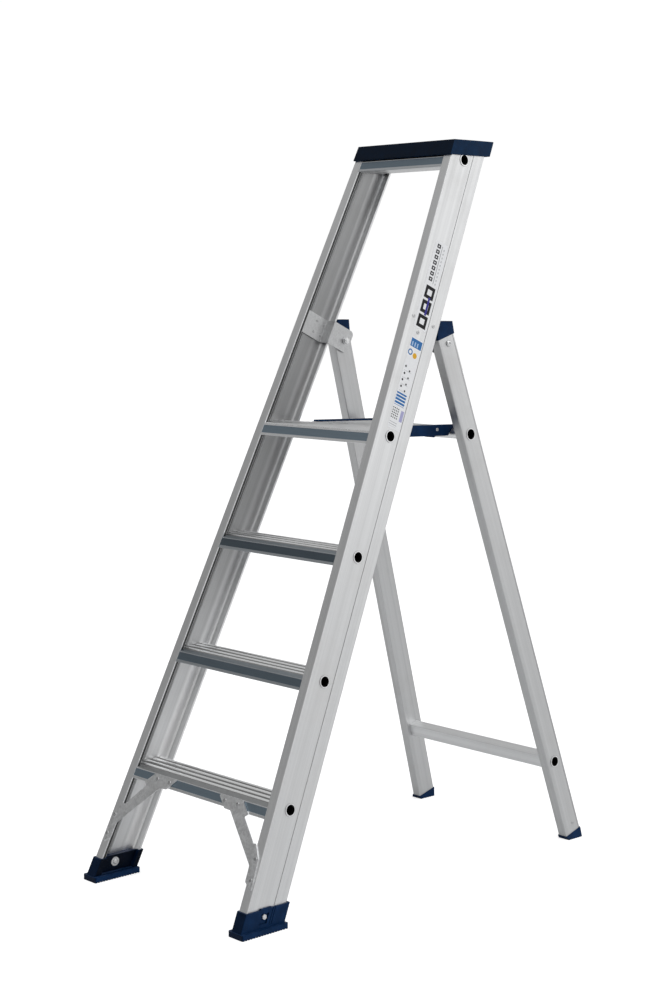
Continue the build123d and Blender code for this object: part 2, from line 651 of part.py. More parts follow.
SOLE_THICK = 12.0
SLEEVE_TOP = 49.5
foot_bolts = []
foot_nuts = []
foot_washers = []
for name, side in SIDES.items():
    base_in, base_out = side * 229.2, side * 276.5
    base = bar(
        [((base_in, FRONT_END, 0), 4), ((base_out, FRONT_END, 0), 4), ((base_out, 121.0, 0), 4),
         ((base_in, 121.0, 0), 4)], (0, 0, SOLE_THICK))
    tooth = 3.2
    while tooth < 118:
        low, high = min(base_in, base_out) - 1, max(base_in, base_out) + 1
        base = base - block(low, high, tooth, tooth + 3.2, -1, 1.8)
        tooth += 7.2
    sleeve_section = [(-4, -4, 3), (-4, 103.5, 2), (27, 103.5, 2), (27, -4, 3)]
    sleeve = stile_bar(side, sleeve_section, SOLE_THICK - 1, SLEEVE_TOP)
    hump = stile_bar(side, box_of(-3.9, -0.1, 30.0, 57.0), SLEEVE_TOP - 1, SLEEVE_TOP + 2.4)
    foot = base + sleeve + hump
    top = SLEEVE_TOP + 4
    low = STILE_FOOT_Z - 0.05
    for section in (
        box_of(-0.1, 2.75, -0.1, 98.1),
        box_of(-0.1, 24.15, -0.1, 2.75),
        box_of(21.35, 24.15, -0.1, 9.65),
        box_of(-0.1, 24.15, 95.35, 98.1),
        box_of(21.65, 24.15, 92.65, 98.1),
        box_of(2.0, 3.85, 30.4, 33.8),
        [(2.7, 82.5, 0), (2.7, 95.4, 0), (15.6, 95.4, 0)],
        [(2.7, 2.7, 0), (4.6, 2.7, 0), (2.7, 4.6, 0)],
        [(21.4, 2.7, 0), (20.2, 2.7, 0), (21.4, 3.9, 0)],
        [(21.7, 95.4, 0), (20.2, 95.4, 0), (21.7, 93.9, 0)],
        box_of(17.5, 28, 11.5, 91.0),
    ):
        foot = foot - stile_bar(side, section, low, top)
    # Window round the nut, and the pair of grooves that carries on the stile's.
    foot = foot - stile_bar(side, box_of(-5, -0.6, 35.5, 54.5), 20.5, 41.0)
    for start in (60.5, 65.8):
        foot = foot - stile_bar(side, box_of(-5, -2.9, start, start + 2.2), SOLE_THICK + 4, top)
    bolt_at = stile_edge(*FOOT_BOLT, side)
    foot = foot - rod(bolt_at - stile_out(side) * 40, stile_out(side), 60, 3.1)
    foot = foot - rod(bolt_at - stile_out(side) * 30, stile_out(side), 30 - 14.4, 11.6)
    save("front_foot_" + name, single(foot))

    out = stile_out(side)
    screw = [
        (0, 1.0, 0), (1.4, 2.6, 0), (5.6, 2.6, 2.0), (5.6, 0, 0), (3.0, 0, 0), (3.0, -21.0, 0.4),
        (0, -21.0, 0),
    ]
    foot_bolts.append(turned(screw, bolt_at - out * 16.1, -out))
    foot_washers.append(ring(bolt_at - out * 14.45, -out, 1.6, 10.5, 3.1))
    foot_nuts.append(hexagon(bolt_at + out * 0.75, out, 3.8, 10.0, 3.02))
save("front_foot_bolts", *foot_bolts)
save("front_foot_washers", *foot_washers)
save("front_foot_nuts", *foot_nuts)


# ---------------------------------------------------------------- rear legs

LEG_GROOVE_AT = 46.2
LEG_GROOVE_HALF = 0.7
LEG_GROOVE_CUT = 0.9
groove_near, groove_far = LEG_GROOVE_AT - LEG_GROOVE_HALF, LEG_GROOVE_AT + LEG_GROOVE_HALF
leg_outline = [
    (0, 0, 2.5), (0, groove_near, 0), (LEG_GROOVE_CUT, groove_near, 0),
    (LEG_GROOVE_CUT, groove_far, 0), (0, groove_far, 0),
    (0, REAR_DEPTH, 2.5), (REAR_WIDTH, REAR_DEPTH, 2.5), (REAR_WIDTH, 0, 2.5),
]
wall = REAR_WALL
leg_bore = [
    (wall, wall, 1.2), (wall, REAR_DEPTH - wall, 1.2), (REAR_WIDTH - wall, REAR_DEPTH - wall, 1.2),
    (REAR_WIDTH - wall, wall, 1.2),
]
FOOT_RIVET = (31.5, 30.0)


def leg_half(z):
    return REAR_HALF - z * tan(REAR_SPLAY)


lower_tie = leg_point(1, 0, LOWER_TIE_DEPTH, LOWER_TIE_ALONG)
lower_half = leg_half(lower_tie[2])
for name, side in SIDES.items():
    leg = leg_bar(side, leg_outline, REAR_START, REAR_END, [leg_bore])
    leg = leg - rod((side * (leg_half(PIVOT_Z) - 40), PIVOT_Y, PIVOT_Z), (side, 0, 0), 60, 4.08)
    leg = leg - rod((side * 120, UPPER_BAR_Y, UPPER_BAR_Z), (side, 0, 0), 120, UPPER_BAR_RADIUS + 0.05)
    for start, length, radius in ((8, 16, CUP_RADIUS + 0.05), (34, 30, TUBE_RADIUS + 0.1)):
        leg = leg - rod((side * (lower_half - start), *lower_tie[1:]), (side, 0, 0), length, radius)
    spot = Vector(*leg_point(side, 0, *FOOT_RIVET))
    leg = leg - rod(spot - leg_out(side) * 5, leg_out(side), 10, RIVET_HOLE)
    save("rear_leg_" + name, single(leg))

# Lower cross bar: a box section set square to the legs, with its own tie tube.
bar_half = lower_half + 4
profile = [(9.8, 181.4, 1.5), (36.8, 181.4, 1.5), (36.8, 212.4, 1.5), (9.8, 212.4, 1.5)]
hollow = [(11.6, 183.2, 0.8), (35.0, 183.2, 0.8), (35.0, 210.6, 0.8), (11.6, 210.6, 0.8)]


def level(outline):
    corners = []
    for depth, along, radius in outline:
        spot = leg_point(1, 0, depth, along)
        corners.append(((-bar_half, spot[1], spot[2]), radius))
    return corners


lower = bar(level(profile), (2 * bar_half, 0, 0), [level(hollow)])
for side in (-1, 1):
    lower = lower - leg_bar(side, box_of(-12, REAR_WIDTH + 0.05, -8, 60), 150, 245)
save("lower_cross_bar", single(lower))
save("tie_tube_lower", tie_tube(lower_half, *lower_tie[1:], leg_out, TIE_SEAT))

# Upper cross bar: a plain round tube rolled over the legs; the platform rests on it.
save("upper_cross_bar", tie_tube(
    leg_half(UPPER_BAR_Z), UPPER_BAR_Y, UPPER_BAR_Z, leg_out, TIE_SEAT,
    UPPER_BAR_RADIUS, UPPER_BAR_RADIUS, UPPER_BAR_RADIUS - 1.2))

PLUG_TOP = 1232.6
SOLE_OUT, SOLE_IN = 263.4, 230.8
SOLE_FRONT = 1019.6
SPIGOT = [
    (wall + 0.1, wall + 0.1, 1.2), (wall + 0.1, REAR_DEPTH - wall - 0.1, 1.2),
    (REAR_WIDTH - wall - 0.1, REAR_DEPTH - wall - 0.1, 1.2), (REAR_WIDTH - wall - 0.1, wall + 0.1, 1.2),
]
foot_rivets = []
for name, side in SIDES.items():
    # Top plug: a block over a spigot in the tube, with a level top and its outer front edge cut away.
    near, far = -1.0, REAR_DEPTH + 1.0
    shoulder = [(-1.0, near), (-1.0, far), (REAR_WIDTH + 1.0, far), (REAR_WIDTH + 1.0, near)]
    start = REAR_END + 0.05
    seat = [leg_point(side, inset, depth, start) for inset, depth in shoulder]
    crown = []
    for inset, y in ((-1.0, 659.8), (-1.0, 691.6), (REAR_WIDTH + 1.0, 691.6), (REAR_WIDTH + 1.0, 659.8)):
        crown.append((side * (leg_half(PLUG_TOP) - inset), y, PLUG_TOP))
    plug = Solid.make_loft([Wire.make_polygon([Vector(*spot) for spot in seat]),
                            Wire.make_polygon([Vector(*spot) for spot in crown])], ruled=True)
    low, high = Vector(*seat[0]), Vector(*crown[1])
    across = Vector(side * (leg_half(PLUG_TOP) - 15.0), 659.8, PLUG_TOP)
    normal = (high - low).cross(across - low)
    if normal.X * side < 0:
        normal = -normal
    plug = split(plug, bisect_by=Plane(origin=low, z_dir=normal), keep=Keep.BOTTOM)
    plug = plug + leg_bar(side, SPIGOT, 1236.5, start + 1)
    save("rear_leg_top_plug_" + name, single(plug))

    # Wedge foot: a level sole, wider than the tube, and a spigot.
    start = REAR_START - 0.05
    collar = [leg_point(side, inset, depth, start) for inset, depth in shoulder]
    sole = [
        (side * SOLE_OUT, SOLE_FRONT, 0), (side * SOLE_OUT, REAR_FEET_END, 0),
        (side * SOLE_IN, REAR_FEET_END, 0), (side * SOLE_IN, SOLE_FRONT, 0),
    ]
    foot = Solid.make_loft([Wire.make_polygon([Vector(*spot) for spot in sole]),
                            Wire.make_polygon([Vector(*spot) for spot in collar])], ruled=True)
    foot = foot + leg_bar(side, SPIGOT, start - 1, 46.0)
    groove = SOLE_FRONT + 4.0
    while groove < REAR_FEET_END - 4:
        foot = foot - block(side * 247 - 25, side * 247 + 25, groove, groove + 2.6, -1, 1.2)
        groove += 6.4
    spot = Vector(*leg_point(side, 0, *FOOT_RIVET))
    out = leg_out(side)
    foot = foot - rod(spot - out * 12.05, out, 20, RIVET_HOLE)
    foot = foot - rod(spot - out * 11.9, -out, 15, 3.2)
    save("rear_foot_" + name, single(foot))
    foot_rivets.append(dome(spot + out * 0.02, out, 4.2, 2.0, 12.0, 1.4))
save("rear_foot_rivets", *foot_rivets)


# ---------------------------------------------------------------- stickers

for name, near, far, low, high in (
    ("sticker_upper", 22.0, 63.2, 1350.0, 1556.0),
    ("sticker_lower", 25.0, 63.6, 1117.0, 1328.0),
):
    corners = []
    for depth, along in ((near, low), (far, low), (far, high), (near, high)):
        corners.append((tuple(stile_edge(depth, along, 1, 0.02)), 2.0))
    out = stile_out(1) * 0.2
    save(name, bar(corners, (out.X, out.Y, out.Z)))
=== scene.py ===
"""Looks for the platform step ladder: materials, printed stickers, floor, light and camera. Metres, +Z up."""

from math import cos, radians, sin, tan

import bmesh
import bpy
from mathutils import Matrix, Vector


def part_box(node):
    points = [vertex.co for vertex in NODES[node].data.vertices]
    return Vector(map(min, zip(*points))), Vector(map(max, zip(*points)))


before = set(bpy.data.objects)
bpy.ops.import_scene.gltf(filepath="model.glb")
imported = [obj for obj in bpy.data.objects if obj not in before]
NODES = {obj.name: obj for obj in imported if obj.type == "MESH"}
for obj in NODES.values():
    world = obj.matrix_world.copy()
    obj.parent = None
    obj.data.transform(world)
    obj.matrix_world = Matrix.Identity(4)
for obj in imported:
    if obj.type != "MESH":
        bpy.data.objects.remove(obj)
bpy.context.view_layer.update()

MM = 1000.0

# How far the stiles and legs lean back or forward, and how far they splay sideways.
LEAN = radians(24.0)
SPLAY = radians(3.9)
REAR_LEAN = radians(17.4)
REAR_SPLAY = radians(3.6)
DECK_SLOPE = tan(radians(1.5))

# Directions: along the cross members, up, forward, and out of and into the stiles' front plane.
ALONG_X = Vector((1, 0, 0))
UP = (0, 0, 1)
FORWARD = (0, -1, 0)
OUT_OF_FRONT = (0, -cos(LEAN), sin(LEAN))
INTO_FRONT = (0, cos(LEAN), -sin(LEAN))

# The stiles' front plane: where it meets the floor, and its distance from the origin.
FRONT_Y = -0.5329
FRONT_PLANE = FRONT_Y * cos(LEAN)


def stile_direction(side):
    return Vector((-side * tan(SPLAY), tan(LEAN), 1)).normalized()


def leg_direction(side):
    return Vector((-side * tan(REAR_SPLAY) * cos(REAR_LEAN), -sin(REAR_LEAN), cos(REAR_LEAN))).normalized()


def grey(value, warm=-0.008):
    return (value * (1 + warm), value, value * (1 - warm))


# A bluish tint, used for the painted shade on the treads' fronts.
def cool(value):
    return (value * 0.80, value, value * 1.18)


# ---------------------------------------------------------------- node graphs

class Graph:
    """A material's node tree, built by short calls. An input takes a number, a colour or a node's socket."""

    def __init__(self, name, **shader):
        self.material = bpy.data.materials.new(name)
        self.material.use_nodes = True
        self.tree = self.material.node_tree
        self.tree.nodes.clear()
        output = self.tree.nodes.new("ShaderNodeOutputMaterial")
        self.shader = self.tree.nodes.new("ShaderNodeBsdfPrincipled")
        self.tree.links.new(self.shader.outputs[0], output.inputs[0])
        for key, value in shader.items():
            self.set(self.shader, key.replace("_", " "), value)

    def set(self, node, key, value):
        socket = node.inputs[key]
        if isinstance(value, bpy.types.NodeSocket):
            self.tree.links.new(value, socket)
        elif isinstance(value, (tuple, list, Vector)) and len(socket.default_value) == 4 and len(value) == 3:
            socket.default_value = (*value, 1.0)
        else:
            socket.default_value = value

    def node(self, kind, inputs=None, output=0, **properties):
        node = self.tree.nodes.new("ShaderNode" + kind)
        for key, value in properties.items():
            setattr(node, key, value)
        for key, value in (inputs or {}).items():
            self.set(node, key, value)
        return node.outputs[output]

    def place(self):
        return self.node("TexCoord", output=3)

    def height(self):
        return self.dot(self.place(), UP)

    def facing(self, direction):
        """Cosine between the surface's normal and a direction."""
        return self.dot(self.node("NewGeometry", output=1), direction)

    def math(self, operation, a, b=0.0, c=0.0):
        return self.node("Math", {0: a, 1: b, 2: c}, operation=operation)

    def dot(self, vector, direction):
        return self.node("VectorMath", {0: vector, 1: direction}, output=1, operation="DOT_PRODUCT")

    def mix(self, share, a, b):
        node = self.tree.nodes.new("ShaderNodeMix")
        node.data_type = "RGBA"
        self.set(node, 0, share)
        self.set(node, 6, a)
        self.set(node, 7, b)
        return node.outputs[2]

    def ramp(self, value, low, high, start=0.0, end=1.0):
        """Smooth change from start to end while the value goes from low to high."""
        return self.node(
            "MapRange", {0: value, 1: low, 2: high, 3: start, 4: end}, interpolation_type="SMOOTHSTEP")

    def noise(self, vector, scale, detail=2.0, rough=0.5):
        return self.node("TexNoise", {"Vector": vector, "Scale": scale, "Detail": detail, "Roughness": rough})

    def stretched(self, direction, along, across):
        """Coordinates squeezed by one factor along a direction and by another across it."""
        place = self.place()
        length = self.dot(place, direction)
        shift = self.node("VectorMath", {0: direction, "Scale": length}, operation="SCALE")
        sideways = self.node("VectorMath", {0: place, 1: shift}, operation="SUBTRACT")
        wide = self.node("VectorMath", {0: sideways, "Scale": across}, operation="SCALE")
        long = self.node("VectorMath", {0: shift, "Scale": along}, operation="SCALE")
        return self.node("VectorMath", {0: wide, 1: long}, operation="ADD")

    def streaks(self, direction, pattern, detail=2.0, rough=0.5):
        """Noise drawn out along a direction. A pattern is a pair of factors: along the direction and across it."""
        return self.noise(self.stretched(direction, *pattern), 1.0, detail, rough)

    def source(self, key):
        """The socket that feeds one of the shader's inputs so far."""
        return self.shader.inputs[key].links[0].from_socket

    def scale_colour(self, factor):
        scaled = self.node("VectorMath", {0: self.source("Base Color"), "Scale": factor}, operation="SCALE")
        self.set(self.shader, "Base Color", scaled)

    def finish(self, colour, roughness, height, strength, distance):
        """Feed the shader's colour, roughness and bump."""
        self.set(self.shader, "Base Color", colour)
        self.set(self.shader, "Roughness", roughness)
        self.bump(height, strength, distance)

    def bump(self, height, strength, distance):
        self.set(self.shader, "Normal", self.node(
            "Bump", {"Height": height, "Strength": strength, "Distance": distance}))


# ---------------------------------------------------------------- metals

# Streak patterns, as the squeeze along the grain and the squeeze across it.
DIE_LINES = (1.5, 900.0)
DIE_BANDS = (0.8, 60.0)
HANDLING_SCRATCHES = (9.0, 420.0)
TREAD_LINES = (2.0, 900.0)
TREAD_GRIME = (14.0, 260.0)
PLATE_SCUFFS = (40.0, 900.0)
MOULDING_SCUFFS = (60.0, 1500.0)


def extruded(name, direction, tone, rough, streaks=0.10):
    """Mill-finish extrusion: die lines along it, faint clouds of oxide, and a few handling scratches."""
    g = Graph(name, Metallic=1.0)
    lines = g.streaks(direction, DIE_LINES, 3.0, 0.6)
    broad = g.streaks(direction, DIE_BANDS)
    clouds = g.noise(g.place(), 9.0, 4.0, 0.6)
    scratch = g.ramp(g.streaks(direction, HANDLING_SCRATCHES, 4.0, 0.7), 0.66, 0.74)
    level = g.math("ADD", g.math("MULTIPLY", lines, 0.5), g.math("MULTIPLY", broad, 0.5))
    colour = g.mix(g.ramp(level, 0.32, 0.68), grey(tone * (1 - streaks)), grey(tone * (1 + streaks * 0.4)))
    colour = g.mix(g.ramp(clouds, 0.45, 0.75, 0.0, 0.35), colour, grey(tone * 0.86, 0.01))
    colour = g.mix(g.math("MULTIPLY", scratch, 0.35), colour, grey(min(1.0, tone * 1.15)))
    spread = g.ramp(level, 0.3, 0.7, rough + 0.06, rough - 0.05)
    spread = g.math("ADD", spread, g.ramp(clouds, 0.4, 0.7, 0.0, 0.06))
    g.finish(colour, spread, g.math("ADD", lines, g.math("MULTIPLY", scratch, -0.6)), 0.12, 0.0002)
    return g


def depth_behind_front(g):
    """Metres behind the stiles' front plane."""
    return g.math("SUBTRACT", g.dot(g.place(), INTO_FRONT), FRONT_PLANE)


STILE_TONE = 0.78
STILE_ROUGH = 0.36

# Painted shade and highlights on a stile, as (from, to, first level, last level), by depth in millimetres behind
# the front plane.
WEB_FRONT_SHADE = (28.0, 34.0, 0.22, 0.62)
WEB_PAINTED_BANDS = ((60.0, 70.0, 0.22), (82.0, 88.0, 0.10), (91.0, 93.5, 0.45))
LIP_END = (9.8, 10.4)
# Painted highlights on the lip's front and rear edges; the lip's face between them is painted dark as shade.
LIP_FRONT_HIGHLIGHT = (2.2, 3.0, 1.27, 0.10)
LIP_REAR_HIGHLIGHT = (7.8, 9.2, 0.0, 0.9)
# A painted shadow line in the groove on the outer faces.
GROOVE_SHADOW_FRONT = (64.8, 65.2, 1.0, 0.5)
GROOVE_SHADOW_REAR = (66.2, 66.6, 0.0, 0.5)
# The same by height in metres: painted light makes the inner faces and the front flange brighter near the floor.
WEB_LIGHT_BY_HEIGHT = (0.25, 0.85, 1.7, 0.80)
FLANGE_LIGHT_BY_HEIGHT = (0.1, 0.75, 0.22, 0.0)


def stile_finish_and_painted_light(name, side):
    """Extruded stile, bright outside, with painted light: painted shade inside the channel, darkest beside the
    front lip, painted highlights on the lip's edges, a painted shadow in the groove, and a front flange painted
    brighter near the floor.
    """
    g = extruded(name, stile_direction(side), STILE_TONE, STILE_ROUGH)
    deep = g.math("MULTIPLY", depth_behind_front(g), MM)

    # Painted shade on the web: darkest beside the front lip, with painted light bands towards the rear and more
    # painted light near the floor.
    web = g.ramp(deep, *WEB_FRONT_SHADE)
    for low, high, change in WEB_PAINTED_BANDS:
        web = g.math("ADD", web, g.ramp(deep, low, high, 0.0, change))
    web = g.math("MULTIPLY", web, g.ramp(g.height(), *WEB_LIGHT_BY_HEIGHT))
    lip = g.math("ADD", g.ramp(deep, *LIP_FRONT_HIGHLIGHT), g.ramp(deep, *LIP_REAR_HIGHLIGHT))
    inner = g.math("ADD", g.math("MULTIPLY", web, g.ramp(deep, *LIP_END)),
                   g.math("MULTIPLY", lip, g.ramp(deep, *LIP_END, 1.0, 0.0)))

    # Outer faces: a painted shadow in the groove, and painted light on the front flange near the floor.
    groove = g.math("ADD", g.ramp(deep, *GROOVE_SHADOW_FRONT), g.ramp(deep, *GROOVE_SHADOW_REAR))
    flange = g.math("MULTIPLY", g.ramp(g.facing(OUT_OF_FRONT), 0.8, 0.95), g.ramp(g.height(), *FLANGE_LIGHT_BY_HEIGHT))
    outer = g.math("MULTIPLY", groove, g.math("ADD", flange, 1.0))

    inward = g.ramp(g.facing((-side, 0, 0)), 0.6, 0.85)
    outward = g.math("SUBTRACT", 1.0, inward)
    g.scale_colour(g.math("ADD", g.math("MULTIPLY", inward, inner), g.math("MULTIPLY", outward, outer)))
    return g.material


TUBE_BORE = 0.0111
ROUND_BAR_BORE = 0.0116
BORE_EDGE = 0.0003
# The bore is painted near black as shade, and a painted shadow darkens the outer rim of the rolled end.
BORE_SHADE, COLLAR_SHADE = 0.03, 1.12
COLLAR_RIM_SHADOW = (0.0131, 0.0137, 1.0, 0.45)


def tube_finish_and_painted_shade(name, bore):
    """Drawn tube with bright rolled ends, a bore painted near black as shade, and a painted shadow line round the
    rolled end.
    """
    g = extruded("finish_" + name, ALONG_X, 0.84, 0.34)
    low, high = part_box(name)
    middle = (low + high) / 2
    spoke = g.node("VectorMath", {0: g.place(), 1: (0, middle.y, middle.z)}, operation="SUBTRACT")
    across = g.node("VectorMath", {0: spoke, 1: (0, 1, 1)}, operation="MULTIPLY")
    reach = g.node("VectorMath", {0: across}, output=1, operation="LENGTH")
    bore_shade_and_collar = g.ramp(reach, bore, bore + BORE_EDGE, BORE_SHADE, COLLAR_SHADE)
    g.scale_colour(g.math("MULTIPLY", bore_shade_and_collar, g.ramp(reach, *COLLAR_RIM_SHADOW)))
    return g.material


# On a tread: how far below the crests the bands start, how deep the front recess starts, and where the nose ends.
CREST_DROP = (-0.0009, -0.0005, 1.0, 0.0)
RECESS_START = (0.0004, 0.0007)
NOSE_END = (0.0095, 0.0115, 1.0, 0.0)
RIB_WAVES = 260.0


def tread_finish_and_painted_shade(name, band_tone, crest_tone, recess=None, nose=1.0, slope=0.0):
    """Ribbed tread: finely ribbed bands, dark partly from grime and partly from painted shade, between worn bright
    crests, and a recessed front painted dark as shade.

    The nose factor sets a painted shade that dims the front edges beside the recess. The slope is that of the top,
    falling to the rear.
    """
    g = extruded("finish_" + name, ALONG_X, crest_tone, 0.30, 0.06)
    low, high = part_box(name)
    below_top = g.math("ADD", g.dot(g.place(), (0, slope, 1)), -(high.z + slope * low.y))
    band = g.math("MULTIPLY", g.ramp(g.facing(UP), 0.93, 0.98), g.ramp(below_top, *CREST_DROP))
    grime = g.streaks(ALONG_X, TREAD_GRIME, 4.0, 0.65)
    # The bands' darkness is partly grime and partly painted shade of the fine ribs.
    band_grime_and_shade = g.mix(grime, grey(band_tone * 0.8), grey(band_tone * 1.15, 0.01))
    colour = g.mix(band, g.source("Base Color"), band_grime_and_shade)
    spread = g.math("ADD", g.source("Roughness"), g.math("MULTIPLY", band, 0.22))
    if recess is not None:
        # The recessed front and the front edges beside it are painted dark and bluish as shade.
        depth = depth_behind_front(g)
        front = g.ramp(g.facing(OUT_OF_FRONT), 0.97, 0.99)
        inner = g.math("MULTIPLY", front, g.ramp(depth, *RECESS_START))
        colour = g.mix(inner, colour, g.mix(grime, cool(recess * 0.85), cool(recess * 1.1)))
        spread = g.math("ADD", spread, g.math("MULTIPLY", inner, 0.12))
        rim = g.math("SUBTRACT", g.ramp(depth, *NOSE_END), inner)
        colour = g.mix(g.math("MULTIPLY", rim, 1.0 - nose), colour, cool(crest_tone * 0.25))
    ribs = g.node("TexWave", {"Vector": g.place(), "Scale": RIB_WAVES, "Distortion": 0.0},
                  output=1, bands_direction="Y")
    lines = g.streaks(ALONG_X, TREAD_LINES, 3.0)
    relief = g.math("ADD", g.math("MULTIPLY", g.math("MULTIPLY", ribs, band), 1.4), lines)
    g.finish(colour, spread, relief, 0.16, 0.0003)
    return g.material


PLATE_SCUFF_DIRECTION = Vector((0.6, 0.5, 0.62)).normalized()


def galvanised(name, tone, rough, cell=240.0):
    """Zinc plate: soft crystals, fine orange peel and a few scuffs."""
    g = Graph(name, Metallic=1.0)
    crystals = g.node("TexVoronoi", {"Vector": g.place(), "Scale": cell, "Randomness": 1.0}, output=1)
    shade = g.node("SeparateColor", {0: crystals})
    peel = g.noise(g.place(), 1400.0, 2.0)
    scuff = g.ramp(g.streaks(PLATE_SCUFF_DIRECTION, PLATE_SCUFFS, 3.0), 0.62, 0.72)
    colour = g.mix(shade, grey(tone * 0.90), grey(tone * 1.06, -0.008))
    colour = g.mix(g.math("MULTIPLY", scuff, 0.4), colour, grey(tone * 0.7))
    spread = g.ramp(shade, 0.0, 1.0, rough - 0.06, rough + 0.08)
    g.finish(colour, spread, g.math("ADD", peel, g.math("MULTIPLY", scuff, -0.5)), 0.10, 0.0001)
    return g.material


# ---------------------------------------------------------------- plastic

NAVY = (0.0028, 0.0215, 0.072)
CAP_NAVY = (0.0025, 0.020, 0.058)
MOULDING_ROUGH = 0.42
MOULDING_SCUFF_DIRECTION = Vector((0.5, 0.7, 0.5)).normalized()
POCKET_FLOOR = 0.0125
POCKET_SHADE = 0.85


def moulded(name, colour, pocket=None, front=1.0):
    """Moulded plastic: spark-eroded grain, flow clouds, pale scuffs and dust on what faces up.

    A pocket is the direction in which a foot's hollow side faces, and that side is painted nearly black as shade.
    The front factor is a painted shade that dims what faces forward.
    """
    g = Graph(name, IOR=1.46, Specular_IOR_Level=0.09)
    grain = g.noise(g.place(), 2600.0, 2.0, 0.6)
    flow = g.noise(g.place(), 38.0, 4.0, 0.6)
    mark = g.ramp(g.streaks(MOULDING_SCUFF_DIRECTION, MOULDING_SCUFFS, 4.0, 0.7), 0.66, 0.76)
    shade = g.mix(g.ramp(flow, 0.3, 0.7), [c * 0.82 for c in colour], [c * 1.22 for c in colour])
    shade = g.mix(g.math("MULTIPLY", mark, 0.25), shade, [c * 2.6 + 0.008 for c in colour])
    dust = g.math("MULTIPLY", g.ramp(g.facing(UP), 0.7, 1.0), g.ramp(flow, 0.4, 0.8, 0.0, 0.10))
    shade = g.mix(dust, shade, grey(0.22, 0.03))
    spread = g.ramp(flow, 0.3, 0.7, MOULDING_ROUGH - 0.05, MOULDING_ROUGH + 0.07)
    spread = g.math("ADD", spread, g.math("MULTIPLY", mark, 0.15))
    g.finish(shade, spread, g.math("ADD", grain, g.math("MULTIPLY", mark, -0.8)), 0.22, 0.0002)
    # Painted shade: what faces forward is darker.
    if front != 1.0:
        ahead = g.ramp(g.facing(FORWARD), 0.5, 0.8)
        g.scale_colour(g.math("ADD", g.math("MULTIPLY", ahead, front - 1.0), 1.0))
    # Painted shade: the foot's hollow side is nearly black.
    if pocket is not None:
        hollow = g.math("MULTIPLY", g.ramp(g.facing(pocket), 0.6, 0.85),
                        g.ramp(g.height(), POCKET_FLOOR, POCKET_FLOOR + 0.001))
        g.scale_colour(g.math("SUBTRACT", 1.0, g.math("MULTIPLY", hollow, POCKET_SHADE)))
    return g.material


# ---------------------------------------------------------------- stickers

FILM = (0.90, 0.91, 0.93)
INK_BLACK = (0.008, 0.008, 0.010)
INK_DARK = (0.03, 0.03, 0.035)
INK_CHECKS = (0.05, 0.06, 0.045)
INK_GREY = (0.30, 0.31, 0.33)
INK_FAINT = (0.55, 0.56, 0.58)
INK_BLUE = (0.035, 0.17, 0.44)
INK_PALE = (0.42, 0.58, 0.80)
INK_LILAC = (0.42, 0.42, 0.66)
INK_VIOLET = (0.035, 0.03, 0.26)
INK_AMBER = (0.78, 0.42, 0.03)
INK_EDGE = 0.25


class Printed:
    """Flat print on a stile's sticker, laid out in millimetres: depth across the stile and distance along it."""

    def __init__(self, name):
        self.g = Graph(name, IOR=1.5, Specular_IOR_Level=0.2)
        from_foot = self.g.node("VectorMath", {0: self.g.place(), 1: (0, -FRONT_Y, 0)}, operation="ADD")
        self.along = self.g.math("MULTIPLY", self.g.dot(from_foot, (0, sin(LEAN), cos(LEAN))), MM)
        self.deep = self.g.math("MULTIPLY", depth_behind_front(self.g), MM)
        fibre = self.g.noise(self.g.place(), 700.0, 3.0)
        self.colour = self.g.mix(fibre, [c * 0.97 for c in FILM], FILM)

    def between(self, value, low, high):
        rise = self.g.ramp(value, low - INK_EDGE, low + INK_EDGE)
        return self.g.math("MULTIPLY", rise, self.g.ramp(value, high - INK_EDGE, high + INK_EDGE, 1.0, 0.0))

    def box(self, deep, along):
        return self.g.math("MULTIPLY", self.between(self.deep, *deep), self.between(self.along, *along))

    def disc(self, deep, along, radius, inner=-5.0):
        """A dot, or a ring where the inner radius is above zero."""
        across = self.g.math("SUBTRACT", self.deep, deep)
        length = self.g.math("SUBTRACT", self.along, along)
        square = self.g.math(
            "ADD", self.g.math("MULTIPLY", across, across), self.g.math("MULTIPLY", length, length))
        return self.between(self.g.math("SQRT", square), inner, radius)

    def bars(self, mask, value, pitch, share):
        """Cut a mask into bars along a coordinate."""
        phase = self.g.math("FRACT", self.g.math("DIVIDE", value, pitch))
        return self.g.math("MULTIPLY", mask, self.g.math("LESS_THAN", phase, share))

    def ink(self, mask, colour, strength=1.0):
        self.colour = self.g.mix(self.g.math("MULTIPLY", mask, strength), self.colour, colour)

    def done(self):
        wear = self.g.noise(self.g.place(), 120.0, 4.0)
        ripple = self.g.noise(self.g.place(), 260.0, 2.0)
        self.g.finish(self.colour, self.g.ramp(wear, 0.3, 0.7, 0.22, 0.40), ripple, 0.08, 0.0002)
        return self.g.material


def upper_sticker():
    """Generic banner: three bold hollow blocks, a violet bar, a row of small blocks and two rules."""
    p = Printed("sticker_upper_print")
    for start in (1354.0, 1388.0, 1422.0):
        p.ink(p.box((29.0, 58.0), (start, start + 29.0)), INK_BLACK)
        p.ink(p.box((36.5, 50.5), (start + 8.0, start + 21.0)), FILM)
    p.ink(p.box((44.0, 50.0), (1384.0, 1426.0)), INK_VIOLET)
    for block in range(7):
        start = 1462.0 + 13.0 * block
        p.ink(p.box((30.0, 41.0), (start, start + 9.0)), INK_DARK)
        p.ink(p.box((33.5, 37.5), (start + 3.0, start + 6.0)), FILM)
    rules = (1458.0, 1548.0)
    p.ink(p.box((45.0, 46.6), rules), INK_GREY)
    p.ink(p.bars(p.box((51.0, 54.5), rules), p.along, 9.0, 0.5), INK_FAINT)
    return p.done()


